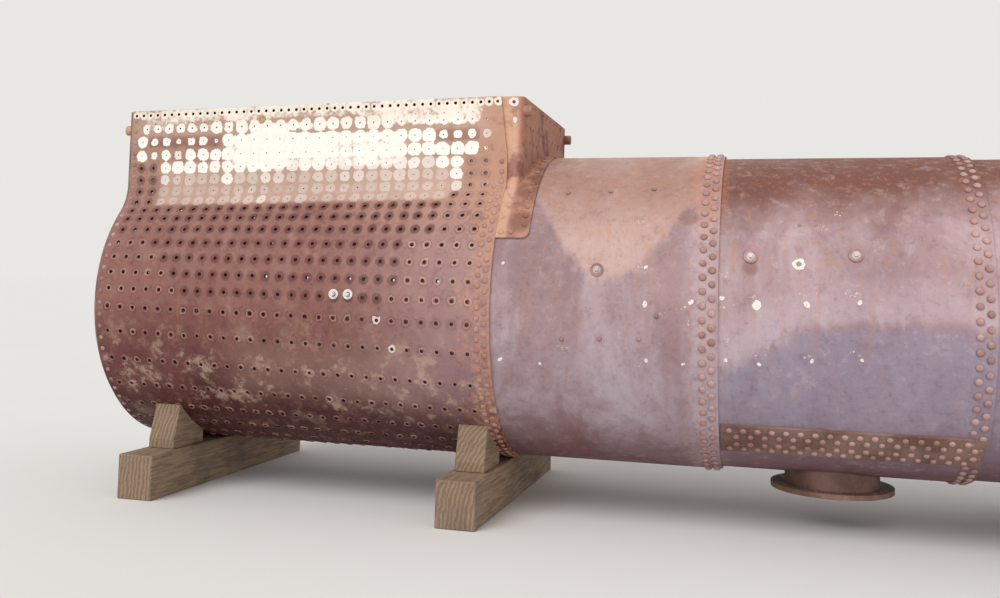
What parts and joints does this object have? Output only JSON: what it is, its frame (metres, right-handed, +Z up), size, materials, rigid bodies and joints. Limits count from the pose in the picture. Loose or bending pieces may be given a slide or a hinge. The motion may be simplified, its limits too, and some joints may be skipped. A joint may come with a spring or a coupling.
{
  "type": "locomotive boiler shell",
  "caption": "Upside-down riveted boiler shell with a narrow stayed firebox, flanged end sheets, lapped barrel courses and a foundation ring, on timber bearers.",
  "frame": {"origin": "centre of the overall box at floor level, under the boiler", "axes": "+X along the barrel from the firebox's back to the barrel's front, +Y to the far side, +Z up; the boiler is upside down"},
  "size_m": [7.2576, 2.2, 2.7697],
  "materials": {
    "rusted_plate": "rusty mauve-brown boiler plate, ground pale round the stay holes",
    "forged_steel": "rusted forged steel",
    "old_fittings": "rusted fittings",
    "bright_steel": "bright turned steel",
    "plug_brass": "dull brass plug",
    "timber": "rough sawn oily timber"
  },
  "bodies": {
    "root": {"wrapper": "rusted_plate", "backhead": "rusted_plate", "fire_hole_ring": "forged_steel", "throat_sheet": "rusted_plate", "mud_ring": "forged_steel", "rear_course": "rusted_plate", "middle_course": "rusted_plate", "front_course": "rusted_plate", "rear_seam_strap": "rusted_plate", "middle_seam_strap": "rusted_plate", "front_seam_strap": "rusted_plate", "front_tube_sheet": "rusted_plate", "dome_neck": "forged_steel", "dome_liner": "rusted_plate", "washout_bosses": "old_fittings", "washout_plugs": "old_fittings", "bright_sleeves": "bright_steel", "side_plug": "plug_brass", "corner_lug": "old_fittings", "rear_bearer": "timber", "rear_chocks": "timber", "middle_bearer": "timber", "middle_chocks": "timber", "front_bearer": "timber", "front_chocks": "timber"}
  },
  "joints": []
}
